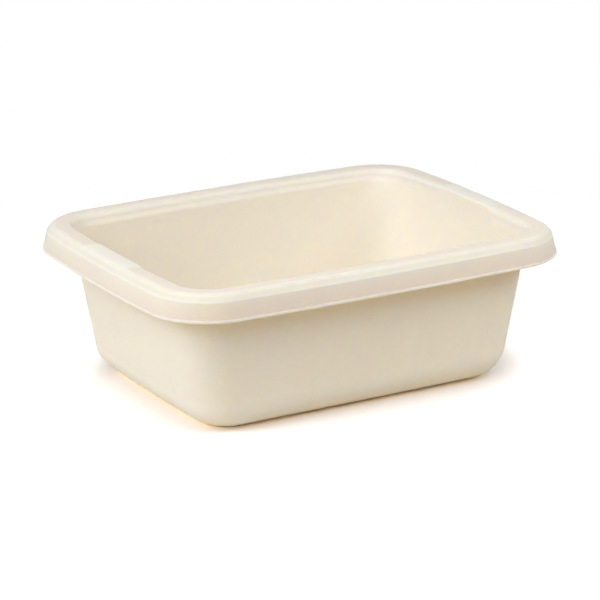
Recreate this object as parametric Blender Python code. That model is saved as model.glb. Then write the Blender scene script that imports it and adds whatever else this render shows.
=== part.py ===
"""Rectangular plastic washing-up basin with a turned-down rim, one polypropylene moulding.

The whole skin is one closed loft. It starts in the middle of the inside floor, climbs the inside of the
walls, goes over the rim and down its skirt to the beaded lip, comes back up inside the skirt, and runs
down the outside of the walls to the underside of the floor. Every ring of the loft is a rounded rectangle
whose four sides bow outwards a little, so that the sides stay straight to the eye and stiff in the hand.

Units are metres, +Z is up and +X is the long way. The origin is under the middle of the basin.
"""

import math

import bmesh
import bpy

# Overall size, over the lip and from the foot to the flat top of the rim
LENGTH = 0.380
WIDTH = 0.300
HEIGHT = 0.130
WALL = 0.0018

# Plan of the lip: its corners, and how far the middle of each side stands out beyond its ends
LIP_CORNER = 0.048
SHORT_SIDE_BOW = 0.0068
LONG_SIDE_BOW = 0.0045

# Cross-section of the rim, with insets measured inwards from the lip and depths down from the flat
RIM_WIDTH = 0.0252
RIM_DEPTH = 0.022
CROWN_START = 0.011
CROWN_RADIUS = 0.006
CROWN_SLOPE = math.radians(49)
SHOULDER_RADIUS = 0.004
SKIRT_FLARE = math.radians(12)
BEAD_HEIGHT = 0.0028
BEAD_PROUD = 0.0007
BEAD_CHAMFER = 0.0007
INNER_EDGE_RADIUS = 0.0044

# Hand-holds: in the middle of each short side the flat reaches further in, to a tighter edge
HOLD_LENGTH = 0.084
HOLD_RAMP = 0.007
HOLD_EDGE_RADIUS = 0.0014

# Walls, on their outside: plan just above the bottom fillet
FOOT_HALF_LENGTH = 0.1505
FOOT_HALF_WIDTH = 0.1150
FOOT_CORNER = 0.0395
FOOT_SHORT_BOW = 0.0021
FOOT_LONG_BOW = 0.0008
BOTTOM_FILLET = 0.0305
WALL_DRAFT = math.radians(4.8)

# Underside: a flat foot runs round the edge, and the panel inside it is stepped up
FOOT_WIDTH = 0.009
PANEL_RISE = 0.0015
PANEL_SLOPE = 0.002
PANEL_CORNER = 0.022

# Where the plastic was injected: a shallow round dimple in the middle of the underside, with a short stub
GATE_RADIUS = 0.0065
GATE_DEPTH = 0.0004
STUB_RADIUS = 0.0016
STUB_HEIGHT = 0.0008

# Fineness of the loft
CORNER_STEPS = 8
LONG_SIDE_STEPS = 8
CROWN_STEPS = 4
SHOULDER_STEPS = 3
EDGE_STEPS = 4
FILLET_STEPS = 6
WALL_STEPS = 3
SHARP_ANGLE = math.radians(38)

# Colour of the plastic: a warm cream with a soft gloss
CREAM = (0.89, 0.81, 0.70, 1.0)
ROUGHNESS = 0.3

LIP_HALF_LENGTH = LENGTH / 2 - SHORT_SIDE_BOW
LIP_HALF_WIDTH = WIDTH / 2 - LONG_SIDE_BOW


def blend(a, b, t):
    return a + (b - a) * t


def side_stations(steps):
    """Even stations along a side, from -1 to 1 and without its ends."""
    return [-1 + 2 * k / steps for k in range(1, steps)]


def hold_stations():
    """Stations along a short side, with a pair at each end of the hand-hold's ramps."""
    straight = LIP_HALF_WIDTH - LIP_CORNER
    ramp_end = HOLD_LENGTH / 2 / straight
    ramp_start = (HOLD_LENGTH / 2 - HOLD_RAMP) / straight
    half = [ramp_start / 2, ramp_start, (ramp_start + ramp_end) / 2, ramp_end, (1 + ramp_end) / 2]
    return [-s for s in reversed(half)] + [0.0] + half


LONG_STATIONS = side_stations(LONG_SIDE_STEPS)
SHORT_STATIONS = hold_stations()


def outline(half_length, half_width, corner, short_bow, long_bow, height):
    """One ring of the loft, anticlockwise: a rounded rectangle whose sides bow outwards."""
    flat = []
    signs = ((1, 1), (-1, 1), (-1, -1), (1, -1))
    for quadrant, (sign_x, sign_y) in enumerate(signs):
        centre_x = sign_x * (half_length - corner)
        centre_y = sign_y * (half_width - corner)
        for step in range(CORNER_STEPS + 1):
            angle = (quadrant + step / CORNER_STEPS) * math.pi / 2
            flat.append((centre_x + corner * math.cos(angle), centre_y + corner * math.sin(angle)))
        next_x, next_y = signs[(quadrant + 1) % 4]
        end_x = next_x * (half_length - corner) + corner * math.cos(angle)
        end_y = next_y * (half_width - corner) + corner * math.sin(angle)
        start_x, start_y = flat[-1]
        for station in LONG_STATIONS if quadrant % 2 == 0 else SHORT_STATIONS:
            t = (station + 1) / 2
            flat.append((blend(start_x, end_x, t), blend(start_y, end_y, t)))
    ring = []
    for x, y in flat:
        out_x = 1 + short_bow / half_length * (1 - (y / half_width) ** 2)
        out_y = 1 + long_bow / half_width * (1 - (x / half_length) ** 2)
        ring.append((x * out_x, y * out_y, height))
    return ring


def rim_ring(inset, depth):
    """A ring of the rim, at an inset from the lip and a depth below the flat."""
    return outline(
        LIP_HALF_LENGTH - inset,
        LIP_HALF_WIDTH - inset,
        LIP_CORNER - inset,
        SHORT_SIDE_BOW,
        LONG_SIDE_BOW,
        HEIGHT - depth,
    )


def wall_ring(t, skin, sunk=0.0, height=None):
    """A ring of the wall: t runs from 0 at the rim to 1 at the fillet, skin is the depth into the plastic.

    The corners open out towards the foot, and the sides lose most of their bow.
    """
    rim_inset = RIM_WIDTH - WALL
    inwards = skin + sunk
    if height is None:
        height = blend(HEIGHT - INNER_EDGE_RADIUS, BOTTOM_FILLET * (1 - math.sin(WALL_DRAFT)), t)
    return outline(
        blend(LIP_HALF_LENGTH - rim_inset, FOOT_HALF_LENGTH, t) - inwards,
        blend(LIP_HALF_WIDTH - rim_inset, FOOT_HALF_WIDTH, t) - inwards,
        blend(LIP_CORNER - rim_inset, FOOT_CORNER, t) - inwards,
        blend(SHORT_SIDE_BOW, FOOT_SHORT_BOW, t),
        blend(LONG_SIDE_BOW, FOOT_LONG_BOW, t),
        height,
    )


def wall_rings(skin):
    """The straight stretch of the wall's outside (skin 0) or inside (skin WALL), from top to bottom."""
    return [wall_ring(step / WALL_STEPS, skin) for step in range(WALL_STEPS + 1)]


def fillet_rings(skin):
    """The round from the wall into the floor, below the wall's last ring, from top to bottom."""
    radius = BOTTOM_FILLET - skin
    rings = []
    for step in range(1, FILLET_STEPS + 1):
        angle = blend(WALL_DRAFT, math.pi / 2, step / FILLET_STEPS)
        sunk = radius * (math.cos(WALL_DRAFT) - math.cos(angle))
        rings.append(wall_ring(1, skin, sunk, BOTTOM_FILLET - radius * math.sin(angle)))
    return rings


def panel_ring(inwards, height):
    """A ring of the floor's panel: inwards is measured from the inner edge of the foot's flat."""
    inset = BOTTOM_FILLET * math.cos(WALL_DRAFT) + FOOT_WIDTH + inwards
    return outline(
        FOOT_HALF_LENGTH - inset,
        FOOT_HALF_WIDTH - inset,
        PANEL_CORNER - inwards,
        FOOT_SHORT_BOW,
        FOOT_LONG_BOW,
        height,
    )


def floor_rings(skin):
    """The step from the foot's flat up to the panel, from outside to inside."""
    return [panel_ring(0.0, skin), panel_ring(PANEL_SLOPE, skin + PANEL_RISE)]


def round_ring(radius, height):
    """A circle with a point on the bearing of each point of the panel's ring."""
    ring = []
    for x, y, _ in panel_ring(0.0, height):
        reach = math.hypot(x, y)
        ring.append((radius * x / reach, radius * y / reach, height))
    return ring


def gate_rings():
    """The dimple and its stub in the middle of the underside, from outside to inside."""
    top = PANEL_RISE + GATE_DEPTH
    return [
        round_ring(GATE_RADIUS, PANEL_RISE),
        round_ring(GATE_RADIUS - GATE_DEPTH, top),
        round_ring(STUB_RADIUS, top),
        round_ring(STUB_RADIUS, top - STUB_HEIGHT),
    ]


def hold_weight(y):
    """1 inside a hand-hold, 0 outside it, with a straight ramp between."""
    along = abs(y)
    return min(max((HOLD_LENGTH / 2 - along) / HOLD_RAMP, 0.0), 1.0)


def edge_rings():
    """The round from the inside of the wall up to the rim's flat, tighter in the hand-holds."""
    rings = []
    middle_of_short_sides = LIP_HALF_LENGTH - RIM_WIDTH - LIP_CORNER / 2
    for step in range(1, EDGE_STEPS + 1):
        turn = step / EDGE_STEPS * math.pi / 2
        around, across = 1 - math.cos(turn), 1 - math.sin(turn)
        plain = rim_ring(RIM_WIDTH - INNER_EDGE_RADIUS * around, INNER_EDGE_RADIUS * across)
        tight = rim_ring(RIM_WIDTH - HOLD_EDGE_RADIUS * around, HOLD_EDGE_RADIUS * across)
        ring = []
        for a, b in zip(plain, tight):
            weight = hold_weight(a[1]) if abs(a[0]) > middle_of_short_sides else 0.0
            ring.append(tuple(blend(p, q, weight) for p, q in zip(a, b)))
        rings.append(ring)
    return rings


def arc(centre, radius, begin, end, steps):
    """Insets and depths along an arc. Its angles run outwards from straight up."""
    inset, depth = centre
    angles = [blend(begin, end, step / steps) for step in range(steps + 1)]
    return [(inset - radius * math.sin(angle), depth - radius * math.cos(angle)) for angle in angles]


def meet(first_turn, first_reach, second_turn, second_reach):
    """Inset and depth where two straight lines of the section cross.

    A line's turn is the angle of its face from straight up. Its reach is how far it lies inwards, square to
    that face, from the point with no inset and no depth.
    """
    scale = math.sin(second_turn - first_turn)
    inset = (second_reach * math.cos(first_turn) - first_reach * math.cos(second_turn)) / scale
    depth = (first_reach * math.sin(second_turn) - second_reach * math.sin(first_turn)) / scale
    return inset, depth


def crown_section(thickness):
    """Insets and depths from the flat, down the sloping crown and round the shoulder to the skirt."""
    skirt_turn = math.pi / 2 - SKIRT_FLARE
    bead_top = RIM_DEPTH - BEAD_HEIGHT
    slope_reach = CROWN_START * math.sin(CROWN_SLOPE) - CROWN_RADIUS * (1 - math.cos(CROWN_SLOPE))
    skirt_reach = BEAD_PROUD * math.sin(skirt_turn) + bead_top * math.cos(skirt_turn)
    crown_centre = (CROWN_START, CROWN_RADIUS)
    shoulder_centre = meet(
        CROWN_SLOPE,
        slope_reach + SHOULDER_RADIUS,
        skirt_turn,
        skirt_reach + SHOULDER_RADIUS,
    )
    crown = arc(crown_centre, CROWN_RADIUS - thickness, 0.0, CROWN_SLOPE, CROWN_STEPS)
    shoulder_radius = SHOULDER_RADIUS - thickness
    return crown + arc(shoulder_centre, shoulder_radius, CROWN_SLOPE, skirt_turn, SHOULDER_STEPS)


def lip_section():
    """Insets and depths round the bead at the bottom of the skirt, from its outside to its inside."""
    bead_top = RIM_DEPTH - BEAD_HEIGHT
    inner_inset = BEAD_PROUD + WALL / math.cos(SKIRT_FLARE)
    return [
        (BEAD_PROUD, bead_top),
        (0.0, bead_top + BEAD_CHAMFER),
        (0.0, RIM_DEPTH - BEAD_CHAMFER),
        (BEAD_CHAMFER, RIM_DEPTH),
        (inner_inset - BEAD_CHAMFER, RIM_DEPTH),
        (inner_inset, RIM_DEPTH - BEAD_CHAMFER),
    ]


def underside_edge():
    """Insets and depths of the round under the rim, from below the flat to the outside of the wall."""
    centre = (RIM_WIDTH - INNER_EDGE_RADIUS, INNER_EDGE_RADIUS)
    return arc(centre, INNER_EDGE_RADIUS - WALL, 0.0, -math.pi / 2, EDGE_STEPS)[:-1]


def skin_rings():
    """Every ring of the closed skin, from the middle of the inside floor round to the underside."""
    inside = list(reversed(wall_rings(WALL) + fillet_rings(WALL) + floor_rings(WALL)))
    over_rim = edge_rings() + [rim_ring(*point) for point in crown_section(0.0) + lip_section()]
    under_rim = [rim_ring(*point) for point in list(reversed(crown_section(WALL))) + underside_edge()]
    outside = wall_rings(0.0) + fillet_rings(0.0) + floor_rings(0.0)
    return inside + over_rim + under_rim + outside + gate_rings()


def loft(mesh, rings):
    """Skin a row of equal rings with quads, and close both ends with a fan from the middle."""
    loops = [[mesh.verts.new(point) for point in ring] for ring in rings]
    for lower, upper in zip(loops, loops[1:]):
        for k, corner in enumerate(lower):
            after = (k + 1) % len(lower)
            mesh.faces.new((corner, lower[after], upper[after], upper[k]))
    first = mesh.faces.new(list(reversed(loops[0])))
    last = mesh.faces.new(loops[-1])
    bmesh.ops.poke(mesh, faces=[first, last])
    bmesh.ops.recalc_face_normals(mesh, faces=mesh.faces)


def cream_plastic():
    material = bpy.data.materials.new("cream_polypropylene")
    material.use_nodes = True
    shader = material.node_tree.nodes["Principled BSDF"]
    shader.inputs["Base Color"].default_value = CREAM
    shader.inputs["Roughness"].default_value = ROUGHNESS
    shader.inputs["Metallic"].default_value = 0.0
    material.diffuse_color = CREAM
    return material


def make_basin():
    """The one piece of the object."""
    mesh = bmesh.new()
    loft(mesh, skin_rings())
    data = bpy.data.meshes.new("basin")
    mesh.to_mesh(data)
    mesh.free()
    data.shade_smooth()
    data.set_sharp_from_angle(angle=SHARP_ANGLE)
    data.materials.append(cream_plastic())
    basin = bpy.data.objects.new("basin", data)
    bpy.context.scene.collection.objects.link(basin)
    return basin


for leftover in list(bpy.data.objects):
    bpy.data.objects.remove(leftover, do_unlink=True)

make_basin()
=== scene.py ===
"""The looks of a moulded plastic basin: its fine surface, its plastic, the studio and the camera.

The fine mesh is one closed loft, like the solid that it stands for, with the same dimensions and many more
rings and points. Its corners are true arcs, the bead on the lip has its small fillets, the top of the rim
is slightly domed, and the hand-holds run out in smooth ramps. Units are metres, +Z is up and +X is the
long way.
"""

import math

import bmesh
import bpy
import numpy as np
from mathutils import Matrix, Vector


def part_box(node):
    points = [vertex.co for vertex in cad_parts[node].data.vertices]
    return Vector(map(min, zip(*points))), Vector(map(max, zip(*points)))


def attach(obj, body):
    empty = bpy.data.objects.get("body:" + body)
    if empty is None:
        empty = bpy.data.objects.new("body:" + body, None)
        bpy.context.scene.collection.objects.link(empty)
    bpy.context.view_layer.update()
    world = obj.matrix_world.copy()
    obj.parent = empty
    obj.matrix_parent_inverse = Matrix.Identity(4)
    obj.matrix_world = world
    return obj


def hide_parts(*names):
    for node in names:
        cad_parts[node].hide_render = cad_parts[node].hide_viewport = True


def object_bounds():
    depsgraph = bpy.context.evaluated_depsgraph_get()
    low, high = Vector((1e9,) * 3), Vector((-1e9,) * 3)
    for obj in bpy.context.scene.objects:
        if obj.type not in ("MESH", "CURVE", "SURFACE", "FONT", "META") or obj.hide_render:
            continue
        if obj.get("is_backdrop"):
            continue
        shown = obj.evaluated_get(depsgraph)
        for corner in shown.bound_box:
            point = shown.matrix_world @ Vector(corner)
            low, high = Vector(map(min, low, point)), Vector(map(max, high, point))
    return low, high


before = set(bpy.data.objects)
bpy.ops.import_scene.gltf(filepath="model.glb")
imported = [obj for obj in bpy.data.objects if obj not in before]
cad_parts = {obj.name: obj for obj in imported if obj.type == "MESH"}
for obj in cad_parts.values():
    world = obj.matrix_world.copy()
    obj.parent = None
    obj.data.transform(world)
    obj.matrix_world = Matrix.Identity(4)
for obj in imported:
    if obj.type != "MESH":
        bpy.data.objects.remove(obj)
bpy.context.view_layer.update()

NODE = "basin"

# Overall size, over the lip and from the foot to the flat top of the rim
low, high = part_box(NODE)
LENGTH = high.x - low.x
WIDTH = high.y - low.y
HEIGHT = high.z - low.z
WALL = 0.0018

# Plan of the lip: its corners, and how far the middle of each side stands out beyond its ends
LIP_CORNER = 0.048
SHORT_SIDE_BOW = 0.0068
LONG_SIDE_BOW = 0.0045

# Cross-section of the rim, with insets measured inwards from the lip and depths down from the flat
RIM_WIDTH = 0.0252
RIM_DEPTH = 0.022
CROWN_START = 0.011
CROWN_RADIUS = 0.006
CROWN_SLOPE = math.radians(49)
SHOULDER_RADIUS = 0.004
SKIRT_FLARE = math.radians(12)
BEAD_HEIGHT = 0.0028
BEAD_PROUD = 0.0007
BEAD_FILLET = 0.0006
LIP_EDGE_RADIUS = 0.0005
INNER_EDGE_RADIUS = 0.0044

# The top of the rim is domed by a few degrees, where the solid leaves it flat
DOME_DROP = 0.0005
DOME_MIDDLE = (CROWN_START + RIM_WIDTH - INNER_EDGE_RADIUS) / 2
DOME_REACH = RIM_WIDTH - INNER_EDGE_RADIUS - CROWN_START

# Hand-holds: in the middle of each short side the flat reaches further in, to a tighter edge
HOLD_LENGTH = 0.084
HOLD_RAMP = 0.007
HOLD_EDGE_RADIUS = 0.0014

# Walls, on their outside: plan just above the bottom fillet
FOOT_HALF_LENGTH = 0.1505
FOOT_HALF_WIDTH = 0.1150
FOOT_CORNER = 0.0395
FOOT_SHORT_BOW = 0.0021
FOOT_LONG_BOW = 0.0008
BOTTOM_FILLET = 0.0305
WALL_DRAFT = math.radians(4.8)

# Underside: a flat foot runs round the edge, and the panel inside it is stepped up
FOOT_WIDTH = 0.009
PANEL_RISE = 0.0015
PANEL_SLOPE = 0.002
PANEL_CORNER = 0.022
STEP_EDGE = 0.0006
STEP_MARGIN = FOOT_WIDTH / 4

# Where the plastic was injected: a shallow round dimple in the middle of the underside, with a short stub
GATE_RADIUS = 0.0065
GATE_DEPTH = 0.0004
STUB_RADIUS = 0.0016
STUB_HEIGHT = 0.0008

# Weights for the looks: the radius of edge or groove that counts in full, and how far inner edges count
EDGE_REACH = 0.005
HOLLOW_REACH = 0.002
INNER_EDGE_SHARE = 0.4

# How deep the rim's top reaches and where its skirt starts, below the flat, and over what depth each fades
TOP_DEPTH = 0.0018
TOP_FADE = 0.0010
SKIRT_TOP = 0.0065
SKIRT_FADE = 0.0020

# Heights of the painted warm shade on the outside: close under the rim, and in the curve down to the foot
UNDER_RIM_START = 0.101
UNDER_RIM_END = 0.080
FOOT_SHADE_TOP = 0.022
FOOT_SHADE_LOW = 0.0008

# Fineness of the fine mesh
CORNER_STEPS = 24
LONG_SIDE_STEPS = 36
HOLD_STEPS = (10, 8, 10)
CROWN_STEPS = 10
SHOULDER_STEPS = 8
EDGE_STEPS = 10
TOP_STEPS = 8
SMALL_STEPS = 4
FILLET_STEPS = 18
WALL_STEPS = 12
FLOOR_STEPS = 6

LIP_HALF_LENGTH = LENGTH / 2 - SHORT_SIDE_BOW
LIP_HALF_WIDTH = WIDTH / 2 - LONG_SIDE_BOW


def long_stations():
    """Even stations along a long side, from 0 to 1 and without its ends."""
    return [k / LONG_SIDE_STEPS for k in range(1, LONG_SIDE_STEPS)]


def short_stations():
    """Stations along a short side from 0 to 1, closer together in the ramps of the hand-hold."""
    straight = LIP_HALF_WIDTH - LIP_CORNER
    ramp_start = (HOLD_LENGTH / 2 - HOLD_RAMP) / straight
    ramp_end = HOLD_LENGTH / 2 / straight
    stops = [0.0, ramp_start, ramp_end, 1.0]
    half = []
    for begin, end, steps in zip(stops, stops[1:], HOLD_STEPS):
        half += [begin + (end - begin) * k / steps for k in range(1, steps + 1)]
    half = half[:-1]
    return [(1 - s) / 2 for s in reversed(half)] + [0.5] + [(1 + s) / 2 for s in half]


STATIONS = (long_stations(), short_stations())


def outline(half_length, half_width, corner, short_bow, long_bow):
    """Plan of one ring, anticlockwise, as rows of x and y: a rounded rectangle whose sides bow outwards."""
    points = []
    signs = ((1, 1), (-1, 1), (-1, -1), (1, -1))
    for quadrant, (sign_x, sign_y) in enumerate(signs):
        centre_x = sign_x * (half_length - corner)
        centre_y = sign_y * (half_width - corner)
        for step in range(CORNER_STEPS + 1):
            angle = (quadrant + step / CORNER_STEPS) * math.pi / 2
            points.append((centre_x + corner * math.cos(angle), centre_y + corner * math.sin(angle)))
        next_x, next_y = signs[(quadrant + 1) % len(signs)]
        end_x = next_x * (half_length - corner) + corner * math.cos(angle)
        end_y = next_y * (half_width - corner) + corner * math.sin(angle)
        start_x, start_y = points[-1]
        for t in STATIONS[quadrant % 2]:
            points.append((start_x + (end_x - start_x) * t, start_y + (end_y - start_y) * t))
    x, y = np.array(points).T
    out_x = 1 + short_bow / half_length * (1 - (y / half_width) ** 2)
    out_y = 1 + long_bow / half_width * (1 - (x / half_length) ** 2)
    return np.stack((x * out_x, y * out_y), axis=1)


def at_height(plan, height):
    return np.column_stack((plan, np.full(len(plan), height)))


def rim_ring(inset, depth):
    """A ring of the rim, at an inset from the lip and a depth below the flat."""
    plan = outline(
        LIP_HALF_LENGTH - inset,
        LIP_HALF_WIDTH - inset,
        LIP_CORNER - inset,
        SHORT_SIDE_BOW,
        LONG_SIDE_BOW,
    )
    return at_height(plan, HEIGHT - depth)


def wall_ring(t, skin, sunk=0.0, height=None):
    """A ring of the wall: t is 0 at the rim and 1 at the fillet, and skin is the depth into the plastic.

    In the fillet, sunk is how much further in the ring lies, and its height is given.
    """
    rim_inset = RIM_WIDTH - WALL
    inwards = skin + sunk
    top = HEIGHT - INNER_EDGE_RADIUS
    bottom = BOTTOM_FILLET * (1 - math.sin(WALL_DRAFT))
    if height is None:
        height = top + (bottom - top) * t

    def between(at_rim, at_foot):
        return at_rim + (at_foot - at_rim) * t

    plan = outline(
        between(LIP_HALF_LENGTH - rim_inset, FOOT_HALF_LENGTH) - inwards,
        between(LIP_HALF_WIDTH - rim_inset, FOOT_HALF_WIDTH) - inwards,
        between(LIP_CORNER - rim_inset, FOOT_CORNER) - inwards,
        between(SHORT_SIDE_BOW, FOOT_SHORT_BOW),
        between(LONG_SIDE_BOW, FOOT_LONG_BOW),
    )
    return at_height(plan, height)


def panel_ring(inwards, height):
    """A ring of the floor's panel: inwards is measured from the inner edge of the foot's flat."""
    inset = BOTTOM_FILLET * math.cos(WALL_DRAFT) + FOOT_WIDTH + inwards
    plan = outline(
        FOOT_HALF_LENGTH - inset,
        FOOT_HALF_WIDTH - inset,
        PANEL_CORNER - inwards,
        FOOT_SHORT_BOW,
        FOOT_LONG_BOW,
    )
    return at_height(plan, height)


def round_ring(radius, height):
    """A circle with a point on the bearing of each point of the panel's ring."""
    plan = panel_ring(0.0, 0.0)[:, :2]
    return at_height(plan * (radius / np.hypot(*plan.T))[:, None], height)


def rounded(corners):
    """Points of a line through corners, each given as across, down, radius and steps of its arc."""
    line = [corners[0][:2]]
    for before, corner, after in zip(corners, corners[1:], corners[2:]):
        radius, steps = corner[2:]
        here = Vector(corner[:2])
        back = (Vector(before[:2]) - here).normalized()
        ahead = (Vector(after[:2]) - here).normalized()
        half = back.angle(ahead) / 2
        centre = here + (back + ahead).normalized() * (radius / math.sin(half))
        first = here + back * (radius / math.tan(half)) - centre
        last = here + ahead * (radius / math.tan(half)) - centre
        sweep = math.pi - 2 * half
        for step in range(steps + 1):
            turned = sweep * step / steps
            spoke = (first * math.sin(sweep - turned) + last * math.sin(turned)) / math.sin(sweep)
            line.append(tuple(centre + spoke))
    line.append(corners[-1][:2])
    return line


def meet(first_turn, first_reach, second_turn, second_reach):
    """Inset and depth where two straight lines of the section cross.

    A line's turn is the angle of its face from straight up. Its reach is how far it lies inwards, square to
    that face, from the point with no inset and no depth.
    """
    scale = math.sin(second_turn - first_turn)
    inset = (second_reach * math.cos(first_turn) - first_reach * math.cos(second_turn)) / scale
    depth = (first_reach * math.sin(second_turn) - second_reach * math.sin(first_turn)) / scale
    return inset, depth


def crown_corners(thickness):
    """The corners of the crown and of the shoulder below it, with their arcs, on either skin of the rim."""
    skirt_turn = math.pi / 2 - SKIRT_FLARE
    bead_top = RIM_DEPTH - BEAD_HEIGHT
    slope_reach = CROWN_START * math.sin(CROWN_SLOPE) - CROWN_RADIUS * (1 - math.cos(CROWN_SLOPE))
    skirt_reach = BEAD_PROUD * math.sin(skirt_turn) + bead_top * math.cos(skirt_turn)
    slope_reach += thickness
    skirt_reach += thickness
    crown = meet(0.0, thickness, CROWN_SLOPE, slope_reach)
    shoulder = meet(CROWN_SLOPE, slope_reach, skirt_turn, skirt_reach)
    return [
        (*crown, CROWN_RADIUS - thickness, CROWN_STEPS),
        (*shoulder, SHOULDER_RADIUS - thickness, SHOULDER_STEPS),
    ]


def dome_drop(inset, depth):
    """How far the dome lowers a point of the rim: not at all in the middle of the top, nor at the lip."""
    aside = min(abs(inset - DOME_MIDDLE) / DOME_REACH, 1.0)
    return DOME_DROP * (1 - math.cos(math.pi * aside)) / 2 * (1 - depth / RIM_DEPTH)


def rim_section(inner_radius):
    """Insets and depths over the rim: up the inside of the wall, over the lip, and back under the flat."""
    bead_top = RIM_DEPTH - BEAD_HEIGHT
    lip_under = BEAD_PROUD + WALL / math.cos(SKIRT_FLARE)
    line = rounded([
        (RIM_WIDTH, INNER_EDGE_RADIUS),
        (RIM_WIDTH, 0.0, inner_radius, EDGE_STEPS),
        *crown_corners(0.0),
        (BEAD_PROUD, bead_top, BEAD_FILLET, SMALL_STEPS),
        (0.0, bead_top + BEAD_PROUD, BEAD_FILLET / 2, SMALL_STEPS),
        (0.0, RIM_DEPTH, LIP_EDGE_RADIUS, SMALL_STEPS),
        (lip_under, RIM_DEPTH, LIP_EDGE_RADIUS, SMALL_STEPS),
        *reversed(crown_corners(WALL)),
        (RIM_WIDTH - WALL, WALL, INNER_EDGE_RADIUS - WALL, EDGE_STEPS),
        (RIM_WIDTH - WALL, INNER_EDGE_RADIUS),
    ])

    # The flat of the top lies between the last point of the inner edge and the first one of the crown
    crown = 1 + (EDGE_STEPS + 1)
    begin, end = line[crown - 1][0], line[crown][0]
    line[crown:crown] = [(begin + (end - begin) * k / TOP_STEPS, 0.0) for k in range(1, TOP_STEPS)]
    return [(inset, depth + dome_drop(inset, depth)) for inset, depth in line]


def smooth(t):
    """From 0 to 1 with a soft start and end, and held outside that range."""
    t = np.clip(t, 0.0, 1.0)
    return t * t * (3 - 2 * t)


def hold_weight(ring):
    """For each point, 1 inside a hand-hold and 0 outside it, with a smooth ramp between."""
    on_short_side = np.abs(ring[:, 0]) > LIP_HALF_LENGTH - RIM_WIDTH - LIP_CORNER / 2
    return smooth((HOLD_LENGTH / 2 - np.abs(ring[:, 1])) / HOLD_RAMP) * on_short_side


def rim_rings():
    """The rings over the rim. In the hand-holds they follow the section with the tighter inner edge."""
    rings = []
    for plain, tight in zip(rim_section(INNER_EDGE_RADIUS), rim_section(HOLD_EDGE_RADIUS)):
        ring = rim_ring(*plain)
        weight = hold_weight(ring)[:, None]
        rings.append(ring + (rim_ring(*tight) - ring) * weight)
    return rings


def wall_rings(skin):
    """The straight stretch of the wall's outside (skin 0) or inside (skin WALL), from top to bottom."""
    return [wall_ring(step / WALL_STEPS, skin) for step in range(1, WALL_STEPS + 1)]


def fillet_rings(skin):
    """The round from the wall into the floor, below the wall's last ring, from top to bottom."""
    radius = BOTTOM_FILLET - skin
    rings = []
    for step in range(1, FILLET_STEPS + 1):
        angle = WALL_DRAFT + (math.pi / 2 - WALL_DRAFT) * step / FILLET_STEPS
        sunk = radius * (math.cos(WALL_DRAFT) - math.cos(angle))
        rings.append(wall_ring(1, skin, sunk, BOTTOM_FILLET - radius * math.sin(angle)))
    return rings


def floor_rings(skin):
    """The step from the foot's flat up to the panel, from outside to inside, with its two edges rounded."""
    steps = rounded([
        (-STEP_MARGIN, 0.0),
        (0.0, 0.0, STEP_EDGE, SMALL_STEPS),
        (PANEL_SLOPE, PANEL_RISE, STEP_EDGE, SMALL_STEPS),
        (PANEL_SLOPE + STEP_MARGIN, PANEL_RISE),
    ])
    return [panel_ring(inwards, skin + rise) for inwards, rise in steps]


def panel_rings(skin, last_radius):
    """Rings across the flat of the panel, from its edge to a small circle in the middle."""
    edge = panel_ring(PANEL_SLOPE + STEP_MARGIN, skin + PANEL_RISE)
    middle = round_ring(last_radius, skin + PANEL_RISE)
    return [edge + (middle - edge) * smooth(step / FLOOR_STEPS) for step in range(1, FLOOR_STEPS + 1)]


def gate_rings():
    """The dimple and its stub in the middle of the underside, from outside to inside."""
    top = PANEL_RISE + GATE_DEPTH
    edge = GATE_DEPTH / 4
    section = rounded([
        (GATE_RADIUS + 2 * edge, PANEL_RISE),
        (GATE_RADIUS, PANEL_RISE, edge, SMALL_STEPS),
        (GATE_RADIUS - GATE_DEPTH, top, edge, SMALL_STEPS),
        (STUB_RADIUS, top, edge, SMALL_STEPS),
        (STUB_RADIUS, top - STUB_HEIGHT, edge, SMALL_STEPS),
        (STUB_RADIUS / 2, top - STUB_HEIGHT),
    ])
    return [round_ring(radius, height) for radius, height in section]


def skin_rings():
    """Every ring of the closed skin, from the middle of the inside floor round to the underside."""
    inside = wall_rings(WALL) + fillet_rings(WALL) + floor_rings(WALL) + panel_rings(WALL, STUB_RADIUS)
    outside = wall_rings(0.0) + fillet_rings(0.0) + floor_rings(0.0)
    outside += panel_rings(0.0, GATE_RADIUS + GATE_DEPTH) + gate_rings()
    return list(reversed(inside)) + rim_rings() + outside


def turning(stack):
    """How sharply the section turns at each point, in radians per metre.

    It is above 0 on an edge and below 0 in a hollow.
    """
    before = np.diff(stack, axis=0)[:-1]
    after = np.diff(stack, axis=0)[1:]
    along = (np.roll(stack, -1, axis=1) - np.roll(stack, 1, axis=1))[1:-1]
    across = np.cross(before, after)
    lengths = np.linalg.norm(before, axis=2), np.linalg.norm(after, axis=2)
    sine = np.linalg.norm(across, axis=2) / (lengths[0] * lengths[1])
    turn = np.arcsin(np.clip(sine, 0.0, 1.0)) * np.sign((across * along).sum(axis=2))
    return np.pad(2 * turn / (lengths[0] + lengths[1]), ((1, 1), (0, 0)))


def painted_shade_by_height(height):
    """Painted warm shade on the outside: 1 close under the rim and in the bottom curve, and 0 between and
    on the foot.
    """
    under_rim = smooth((height - UNDER_RIM_END) / (UNDER_RIM_START - UNDER_RIM_END))
    by_foot = smooth((FOOT_SHADE_TOP - height) / FOOT_SHADE_TOP) * smooth(height / FOOT_SHADE_LOW)
    return np.maximum(under_rim, by_foot)


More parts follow.
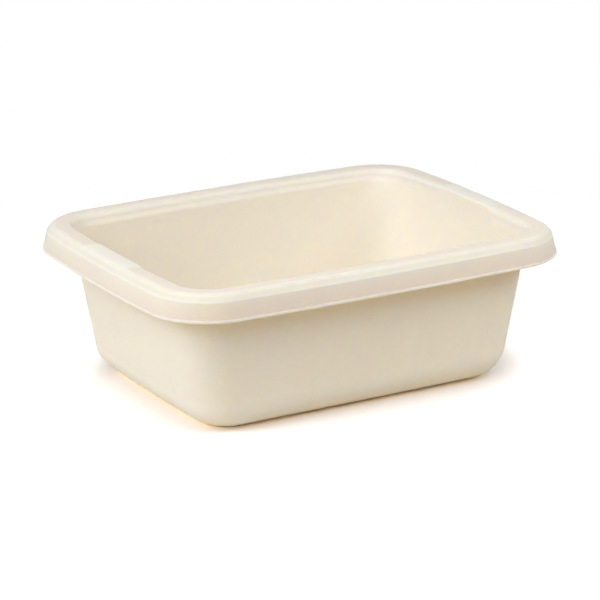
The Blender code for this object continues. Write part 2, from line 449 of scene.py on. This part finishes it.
def looks_weights(rings):
    """Weights for the looks, each from 0 to 1 at every point of the rings.

    They are edge on rounded edges, hollow in grooves, pad on the top of the hand-holds, one for the painted
    shade on the rest of the rim's top and on its skirt, inside on the skin that faces the water, and one
    for the painted warm shade under the rim and by the foot.
    """
    stack = np.array(rings)
    turns = turning(stack)
    height = stack[:, :, 2]

    # In their order the rings run up the inside, over the rim and its lip, down the outside, and in below
    order = np.arange(len(rings))[:, None]
    before_rim = order < np.argmax(height.max(axis=1))
    after_lip = order > np.argmax(stack[:, :, 0].max(axis=1))
    underneath = order > np.argmin(height.min(axis=1))

    hold = np.array([hold_weight(ring) for ring in rings])
    on_top = smooth((height - HEIGHT + TOP_DEPTH) / TOP_FADE)
    on_skirt = smooth((HEIGHT - SKIRT_TOP - height) / SKIRT_FADE) * ~(before_rim | after_lip)
    return {
        "edge": np.clip(turns * EDGE_REACH, 0.0, 1.0) * np.where(before_rim, INNER_EDGE_SHARE, 1.0),
        "hollow": np.clip(-turns * HOLLOW_REACH, 0.0, 1.0),
        "pad": hold * on_top,
        # Where the rim's top away from the hand-holds, and its skirt, get painted shade
        "painted_rim_shade": (1 - hold) * on_top + on_skirt,
        "inside": smooth((HEIGHT - height) / INNER_EDGE_RADIUS) * before_rim,
        # Where the outside gets its painted warm shade
        "painted_warm_shade": painted_shade_by_height(height) * (after_lip & ~underneath),
    }


def loft(name, rings):
    """A closed mesh object through a row of equal rings, with a fan at each end and its weights."""
    mesh = bmesh.new()
    loops = [[mesh.verts.new(point) for point in ring] for ring in rings]
    for lower, upper in zip(loops, loops[1:]):
        for k, corner in enumerate(lower):
            after = (k + 1) % len(lower)
            mesh.faces.new((corner, lower[after], upper[after], upper[k]))
    first = mesh.faces.new(list(reversed(loops[0])))
    last = mesh.faces.new(loops[-1])
    bmesh.ops.poke(mesh, faces=[first, last])
    bmesh.ops.recalc_face_normals(mesh, faces=mesh.faces)
    data = bpy.data.meshes.new(name)
    mesh.to_mesh(data)
    mesh.free()
    data.shade_smooth()

    # The middles of the two fans are the mesh's last points, and have no weight
    fan_middles = (0.0, 0.0)
    for weight, values in looks_weights(rings).items():
        layer = data.attributes.new(weight, "FLOAT", "POINT")
        layer.data.foreach_set("value", np.append(values.ravel(), fan_middles).astype(np.float32))

    piece = bpy.data.objects.new(name, data)
    bpy.context.scene.collection.objects.link(piece)
    return piece


# Plastic: cream polypropylene, a little translucent, and matt but for its edges and its inside
ROUGHNESS = 0.42
ROUGHNESS_SWING = 0.035
RUBBED_ROUGHNESS = 0.12
INSIDE_SMOOTHNESS = 0.06
IOR = 1.49
GLOSS_LEVEL = 0.08
EDGE_GLOSS = 0.40
INSIDE_GLOSS = 0.30
TRANSLUCENCY = 1.0
GLOW_RADIUS = (1.0, 0.8, 0.3)
GLOW_DEPTH = 0.003

# Its tints: two that drift into each other all over, then worn places with a painted highlight on edges,
# painted shade in grooves, painted lighter hand-holds, painted shade on the rest of the rim, a painted
# paler inside, and painted warm shade
PALER = (0.95, 0.842, 0.738, 1.0)
DEEPER = (0.93, 0.812, 0.698, 1.0)
WORN_AND_HIGHLIGHT = (0.985, 0.925, 0.875, 1.0)
PAINTED_GROOVE_SHADE = (0.76, 0.65, 0.50, 1.0)
PAINTED_LIGHTER_PAD = (0.975, 0.865, 0.79, 1.0)
PAINTED_RIM_SHADE = (0.88, 0.77, 0.67, 1.0)
PAINTED_PALER_INSIDE = (0.955, 0.85, 0.75, 1.0)
PAINTED_WARM_SHADE = (0.97, 0.785, 0.585, 1.0)

# How much of a tint is mixed in at the most
WORN_AND_HIGHLIGHT_SHARE = 0.75
PAINTED_GROOVE_SHADE_SHARE = 0.35
PAINTED_LIGHTER_PAD_SHARE = 0.8
PAINTED_PALER_INSIDE_SHARE = 0.9

# How worn the middle of the blush is, and at the least how much shows of the worn look and painted
# highlight on edges, and of the painted shade in grooves
BLUSH_WEAR = 0.6
LEAST_WEAR = 0.5

# Sizes of the patterns on it, in metres
CLOUD_SIZE = 0.085
FLOW_SIZE = 0.030
WEAR_SIZE = 0.012
SPECK_SIZE = 0.0011
SINK_SIZE = 0.055
PEEL_SIZE = 0.0032
GRAIN_SIZE = 0.0007
SCRATCH_LENGTH = 0.030
SCRATCH_WIDTH = 0.0005
SCRATCH_PATCH_SIZE = 0.05
BLUSH_RADIUS = 0.030
FOOT_CONTACT = 0.0003

# The width of a band of flow over its length, and the ways in which the scratches are turned
FLOW_NARROWNESS = 0.12
SCRATCH_TURNS = ((0.3, 0.2, 0.5), (1.1, -0.4, 2.2), (-0.5, 0.9, 1.3))

# How broken up a pattern is: the finer layers of its noise
PLAIN = 0.0
SOFT = 1.0
CLOUDY = 2.0
STREAKY = 3.0
RAGGED = 4.0

# The ranges of noise over which the patterns go from none to full, the first two for sums of noises
TONE_RANGE = (1.1, 1.9)
ROUGHNESS_RANGE = (0.7, 1.3)
WEAR_RANGE = (0.38, 0.66)
SCRATCH_RANGE = (0.74, 0.80)
SCRATCH_PATCH_RANGE = (0.5, 0.65)

# Heights of the patterns that a finger would feel, in metres, and the bump's own unit
SINK_HEIGHT = 0.00012
PEEL_HEIGHT = 0.000012
GRAIN_HEIGHT = 0.000006
SCRATCH_HEIGHT = 0.000010
PAD_GRAIN_HEIGHT = 0.000040
METRE = 1.0


class Nodes:
    """Short ways to add nodes to one tree."""

    def __init__(self, tree):
        self.tree = tree

    def add(self, kind):
        return self.tree.nodes.new("ShaderNode" + kind)

    def feed(self, socket, value):
        """Link a socket to another one, or set it to a plain value."""
        if isinstance(value, bpy.types.NodeSocket):
            self.tree.links.new(value, socket)
        else:
            socket.default_value = value

    def place(self):
        return self.add("TexCoord").outputs["Object"]

    def weight(self, name):
        """One of the weights that the mesh carries."""
        made = self.add("Attribute")
        made.attribute_name = name
        return made.outputs["Fac"]

    def maths(self, operation, first, second=0.0):
        made = self.add("Math")
        made.operation = operation
        self.feed(made.inputs[0], first)
        self.feed(made.inputs[1], second)
        return made.outputs[0]

    def plus(self, first, second):
        return self.maths("ADD", first, second)

    def minus(self, first, second):
        return self.maths("SUBTRACT", first, second)

    def times(self, first, second):
        return self.maths("MULTIPLY", first, second)

    def larger(self, first, second):
        return self.maths("MAXIMUM", first, second)

    def noise(self, place, size, detail=CLOUDY):
        """Blobs about as wide as size, from 0 to 1 with most of them near 0.5."""
        made = self.add("TexNoise")
        self.feed(made.inputs["Vector"], place)
        self.feed(made.inputs["Scale"], 1 / size)
        self.feed(made.inputs["Detail"], detail)
        return made.outputs["Fac"]

    def spread(self, value, span, result=(0.0, 1.0)):
        """A span of the value spread over the range of the result, and held at its ends."""
        made = self.add("MapRange")
        for socket, number in zip(made.inputs, (value, *span, *result)):
            self.feed(socket, number)
        return made.outputs["Result"]

    def turned(self, place, angle, stretch):
        """The place turned about the three axes, then stretched."""
        made = self.add("Mapping")
        made.vector_type = "TEXTURE"
        self.feed(made.inputs["Vector"], place)
        self.feed(made.inputs["Rotation"], angle)
        self.feed(made.inputs["Scale"], stretch)
        return made.outputs["Vector"]

    def tint(self, share, first, second):
        """The first colour where the share is 0, and the second one where it is 1."""
        made = self.add("Mix")
        made.data_type = "RGBA"
        self.feed(made.inputs["Factor"], share)
        # The sockets for colours come after those for numbers and vectors
        self.feed(made.inputs[6], first)
        self.feed(made.inputs[7], second)
        return made.outputs[2]


def streaks(nodes, place):
    """Faint bands along the way that the plastic flowed, out from the gate and up the walls.

    The distance from the upright axis and the height come with them.
    """
    parts = nodes.add("SeparateXYZ")
    nodes.feed(parts.inputs[0], place)
    x, y, z = parts.outputs
    bearing = nodes.maths("ARCTAN2", y, x)
    reach = nodes.maths("SQRT", nodes.plus(nodes.times(x, x), nodes.times(y, y)))
    way = nodes.add("CombineXYZ")
    nodes.feed(way.inputs[0], nodes.times(bearing, LIP_HALF_WIDTH))
    nodes.feed(way.inputs[1], nodes.times(nodes.plus(reach, z), FLOW_NARROWNESS))
    return nodes.noise(way.outputs[0], FLOW_SIZE, STREAKY), reach, z


def scratches(nodes, place):
    """Hairlines of several directions, 1 on a scratch: few, short and in patches."""
    patches = nodes.spread(nodes.noise(place, SCRATCH_PATCH_SIZE), SCRATCH_PATCH_RANGE)
    lines = 0.0
    for angle in SCRATCH_TURNS:
        stretched = nodes.turned(place, angle, (SCRATCH_LENGTH, SCRATCH_WIDTH, SCRATCH_LENGTH / 4))
        line = nodes.spread(nodes.noise(stretched, 1.0, PLAIN), SCRATCH_RANGE)
        lines = nodes.larger(line, lines)
    return nodes.times(lines, patches)


def cream_plastic():
    """The basin's plastic, whose colour, gloss and relief follow the mesh's weights and several noises."""
    material = bpy.data.materials.new("cream_plastic")
    material.use_nodes = True
    nodes = Nodes(material.node_tree)
    shader = material.node_tree.nodes["Principled BSDF"]
    place = nodes.place()
    clouds = nodes.noise(place, CLOUD_SIZE)
    flow, reach, height = streaks(nodes, place)
    specks = nodes.noise(place, SPECK_SIZE, SOFT)
    scratch = scratches(nodes, place)
    pad = nodes.weight("pad")
    edge = nodes.weight("edge")
    inside = nodes.weight("inside")

    # Where it is rubbed: the flat that it stands on and the blush round the gate, and rounded edges, whose
    # paler tint is also a painted highlight
    wear = nodes.spread(nodes.noise(place, WEAR_SIZE, RAGGED), WEAR_RANGE, (LEAST_WEAR, 1.0))
    foot = nodes.spread(height, (FOOT_CONTACT, 2 * FOOT_CONTACT), (1.0, 0.0))
    below = nodes.spread(height, (WALL, 2 * WALL), (1.0, 0.0))
    blush = nodes.times(nodes.spread(reach, (0.0, BLUSH_RADIUS), (BLUSH_WEAR, 0.0)), below)
    worn_and_highlit = nodes.larger(nodes.times(nodes.larger(edge, foot), wear), blush)
    # Painted shade in the grooves, broken up by the same noise as the wear
    painted_groove_shade = nodes.times(nodes.weight("hollow"), wear)

    # Its colour, with one tint laid over another
    broad = nodes.plus(clouds, flow)
    tone = nodes.spread(nodes.plus(broad, specks), TONE_RANGE)
    colour = nodes.tint(tone, DEEPER, PALER)
    # Painted light: the inside is made paler than the outside
    colour = nodes.tint(nodes.times(inside, PAINTED_PALER_INSIDE_SHARE), colour, PAINTED_PALER_INSIDE)
    # Painted shade on the rim's top away from the hand-holds, and on its skirt
    colour = nodes.tint(nodes.weight("painted_rim_shade"), colour, PAINTED_RIM_SHADE)
    # Painted shade in the grooves
    colour = nodes.tint(nodes.times(painted_groove_shade, PAINTED_GROOVE_SHADE_SHARE), colour, PAINTED_GROOVE_SHADE)
    # Wear on the foot and round the gate, and a painted highlight on rounded edges
    colour = nodes.tint(nodes.times(worn_and_highlit, WORN_AND_HIGHLIGHT_SHARE), colour, WORN_AND_HIGHLIGHT)
    # Painted light: the tops of the hand-holds are made lighter
    colour = nodes.tint(nodes.times(pad, PAINTED_LIGHTER_PAD_SHARE), colour, PAINTED_LIGHTER_PAD)
    # Painted warm shade under the rim and in the curve down to the foot
    colour = nodes.tint(nodes.weight("painted_warm_shade"), colour, PAINTED_WARM_SHADE)
    nodes.feed(shader.inputs["Base Color"], colour)

    # How rough and how glossy it is
    rough = nodes.spread(broad, ROUGHNESS_RANGE, (ROUGHNESS - ROUGHNESS_SWING, ROUGHNESS + ROUGHNESS_SWING))
    matt = nodes.larger(nodes.larger(worn_and_highlit, pad), scratch)
    rough = nodes.plus(rough, nodes.times(matt, RUBBED_ROUGHNESS))
    rough = nodes.minus(rough, nodes.times(inside, INSIDE_SMOOTHNESS))
    nodes.feed(shader.inputs["Roughness"], rough)
    gloss = nodes.larger(nodes.times(edge, EDGE_GLOSS), nodes.times(inside, INSIDE_GLOSS))
    nodes.feed(shader.inputs["Specular IOR Level"], nodes.plus(gloss, GLOSS_LEVEL))

    # Its relief: sink marks, orange peel, grain, the pads' own grain, and scratches
    relief = nodes.times(nodes.noise(place, SINK_SIZE, SOFT), SINK_HEIGHT)
    for size, swing in ((PEEL_SIZE, PEEL_HEIGHT), (GRAIN_SIZE, GRAIN_HEIGHT)):
        relief = nodes.plus(relief, nodes.times(nodes.noise(place, size, SOFT), swing))
    relief = nodes.plus(relief, nodes.times(nodes.times(pad, specks), PAD_GRAIN_HEIGHT))
    relief = nodes.minus(relief, nodes.times(scratch, SCRATCH_HEIGHT))
    bump = nodes.add("Bump")
    nodes.feed(bump.inputs["Distance"], METRE)
    nodes.feed(bump.inputs["Height"], relief)
    nodes.feed(shader.inputs["Normal"], bump.outputs["Normal"])

    nodes.feed(shader.inputs["IOR"], IOR)
    nodes.feed(shader.inputs["Subsurface Weight"], TRANSLUCENCY)
    nodes.feed(shader.inputs["Subsurface Radius"], GLOW_RADIUS)
    nodes.feed(shader.inputs["Subsurface Scale"], GLOW_DEPTH)
    return material


basin = loft("moulded_basin", skin_rings())
basin.data.materials.append(cream_plastic())
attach(basin, "root")
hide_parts(NODE)


# Studio: a white disc for a floor, a hair below the foot, in front of nothing but white
FLOOR_RADIUS = 0.6
FLOOR_SIDES = 96
FLOOR_GAP = 0.0001
FLOOR_WHITE = (0.84, 0.84, 0.84, 1.0)

# How bright the picture shows that floor, by how open to the sky it is within the reach of the shade: a
# painted warm glow right at the foot, painted shade round it, and white further out
SHADE_REACH = 0.07
FLOOR_SEEN = (
    (0.00, (3.2, 2.6, 1.75)),
    (0.22, (1.17, 1.14, 1.10)),
    (0.55, (1.26, 1.26, 1.25)),
    (0.85, (2.1, 2.1, 2.1)),
)
FLOOR_BRIGHTEST = 3.2

# The even light on the basin, and the backdrop that only the picture and its mirrors show
WHITE = (1.0, 1.0, 1.0, 1.0)
AMBIENT = 0.055
BACKDROP = 1.0


def seen_in_picture(nodes):
    """1 for rays from the camera, and for those that gloss or clear plastic sends on; 0 for soft light."""
    rays = nodes.add("LightPath").outputs
    seen = nodes.larger(rays["Is Camera Ray"], rays["Is Glossy Ray"])
    return nodes.larger(seen, rays["Is Transmission Ray"])


def mix_for_picture(nodes, output, unseen, seen):
    """Send one shader to the picture and its mirrors, and the other one into the light on the object."""
    mix = nodes.add("MixShader")
    nodes.feed(mix.inputs[0], seen_in_picture(nodes))
    nodes.feed(mix.inputs[1], unseen.outputs[0])
    nodes.feed(mix.inputs[2], seen.outputs[0])
    nodes.feed(output.inputs["Surface"], mix.outputs[0])


def floor_material():
    """White paper that the picture shows burnt out, except close to the basin, where its shade is warm."""
    material = bpy.data.materials.new("white_floor")
    material.use_nodes = True
    material.node_tree.nodes.clear()
    nodes = Nodes(material.node_tree)
    paper = nodes.add("BsdfDiffuse")
    nodes.feed(paper.inputs["Color"], FLOOR_WHITE)

    # The ramp paints a warm glow at the foot and shade round it into the floor's look, over the lamps' real
    # shadow
    nearness = nodes.add("AmbientOcclusion")
    nodes.feed(nearness.inputs["Distance"], SHADE_REACH)
    exposed = nodes.add("ValToRGB")
    nodes.feed(exposed.inputs["Fac"], nearness.outputs["AO"])
    stops = exposed.color_ramp.elements
    while len(stops) < len(FLOOR_SEEN):
        stops.new(0.5)
    for stop, (openness, colour) in zip(stops, FLOOR_SEEN):
        stop.position = openness
        stop.color = [channel / FLOOR_BRIGHTEST for channel in colour] + [1.0]
    brighter = nodes.add("VectorMath")
    brighter.operation = "SCALE"
    nodes.feed(brighter.inputs["Scale"], FLOOR_BRIGHTEST)
    nodes.feed(brighter.inputs[0], exposed.outputs["Color"])
    burnt_out = nodes.add("BsdfDiffuse")
    nodes.feed(burnt_out.inputs["Color"], brighter.outputs[0])
    mix_for_picture(nodes, nodes.add("OutputMaterial"), paper, burnt_out)
    return material


def make_floor():
    mesh = bmesh.new()
    bmesh.ops.create_circle(mesh, cap_ends=True, radius=FLOOR_RADIUS, segments=FLOOR_SIDES)
    data = bpy.data.meshes.new("floor")
    mesh.to_mesh(data)
    mesh.free()
    data.materials.append(floor_material())
    floor = bpy.data.objects.new("floor", data)
    floor.location.z = -FLOOR_GAP
    bpy.context.scene.collection.objects.link(floor)
    floor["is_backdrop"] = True


def background(nodes, strength):
    made = nodes.add("Background")
    nodes.feed(made.inputs["Color"], WHITE)
    nodes.feed(made.inputs["Strength"], strength)
    return made


def make_world():
    world = bpy.data.worlds.new("studio")
    bpy.context.scene.world = world
    world.use_nodes = True
    world.node_tree.nodes.clear()
    nodes = Nodes(world.node_tree)
    output = nodes.add("OutputWorld")
    mix_for_picture(nodes, output, background(nodes, AMBIENT), background(nodes, BACKDROP))


make_floor()
make_world()


# Lamps, each with its place, size, power and colour: four wide ones, and three smaller ones close above
LAMPS_AIM = Vector((0, 0, 0.06))
WIDE = 1.2
CLOSE = 0.5
DAYLIGHT = (0.965, 0.985, 1.0)
PLAIN_LIGHT = (1.0, 1.0, 1.0)
LAMPS = (
    ("left", (-1.73, 0.00, 1.06), WIDE, 20.4, DAYLIGHT),
    ("front_left", (-1.22, -1.22, 1.08), WIDE, 6.6, PLAIN_LIGHT),
    ("front_right", (0.91, -1.21, 1.37), WIDE, 4.6, PLAIN_LIGHT),
    ("right_back", (1.84, 0.55, 0.61), WIDE, 2.4, PLAIN_LIGHT),
    ("close_front_right", (0.41, -0.54, 0.65), CLOSE, 2.5, PLAIN_LIGHT),
    ("close_left", (-0.40, -0.18, 0.84), CLOSE, 1.45, PLAIN_LIGHT),
    ("close_back", (0.09, 0.45, 0.83), CLOSE, 0.9, PLAIN_LIGHT),
)


def make_lamp(name, place, size, power, colour):
    data = bpy.data.lights.new(name, "AREA")
    data.shape = "SQUARE"
    data.size = size
    data.energy = power
    data.color = colour
    lamp = bpy.data.objects.new(name, data)
    lamp.location = place
    lamp.rotation_mode = "QUATERNION"
    lamp.rotation_quaternion = (LAMPS_AIM - Vector(place)).to_track_quat("-Z", "Y")
    bpy.context.scene.collection.objects.link(lamp)


for lamp_facts in LAMPS:
    make_lamp(*lamp_facts)


# Camera, found by matching the photo's outline: its pixels are those of the 600 by 600 frame
AZIMUTH = math.radians(-29.25)
ELEVATION = math.radians(17.61)
ROLL = math.radians(-0.81)
DISTANCE = 2.4865
FOCAL_PIXELS = 2941.0
FRAME_PIXELS = 600
SENSOR = 36.0
TARGET = Vector((0.0036, 0.0044, 0.0614))
NEAREST = 0.05
FARTHEST = 20.0


def make_camera():
    data = bpy.data.cameras.new("camera")
    data.sensor_width = SENSOR
    data.lens = FOCAL_PIXELS / FRAME_PIXELS * SENSOR
    data.clip_start = NEAREST
    data.clip_end = FARTHEST
    camera = bpy.data.objects.new("camera", data)
    back = Vector((
        math.sin(AZIMUTH) * math.cos(ELEVATION),
        -math.cos(AZIMUTH) * math.cos(ELEVATION),
        math.sin(ELEVATION),
    ))
    level = (-back).cross(Vector((0, 0, 1))).normalized()
    upright = back.cross(level)
    right = level * math.cos(ROLL) + upright * math.sin(ROLL)
    up = upright * math.cos(ROLL) - level * math.sin(ROLL)
    turn = Matrix((right, up, back)).transposed()
    camera.matrix_world = Matrix.Translation(TARGET + back * DISTANCE) @ turn.to_4x4()
    bpy.context.scene.collection.objects.link(camera)
    bpy.context.scene.camera = camera


make_camera()
bpy.context.scene.view_settings.view_transform = "Standard"

low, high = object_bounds()
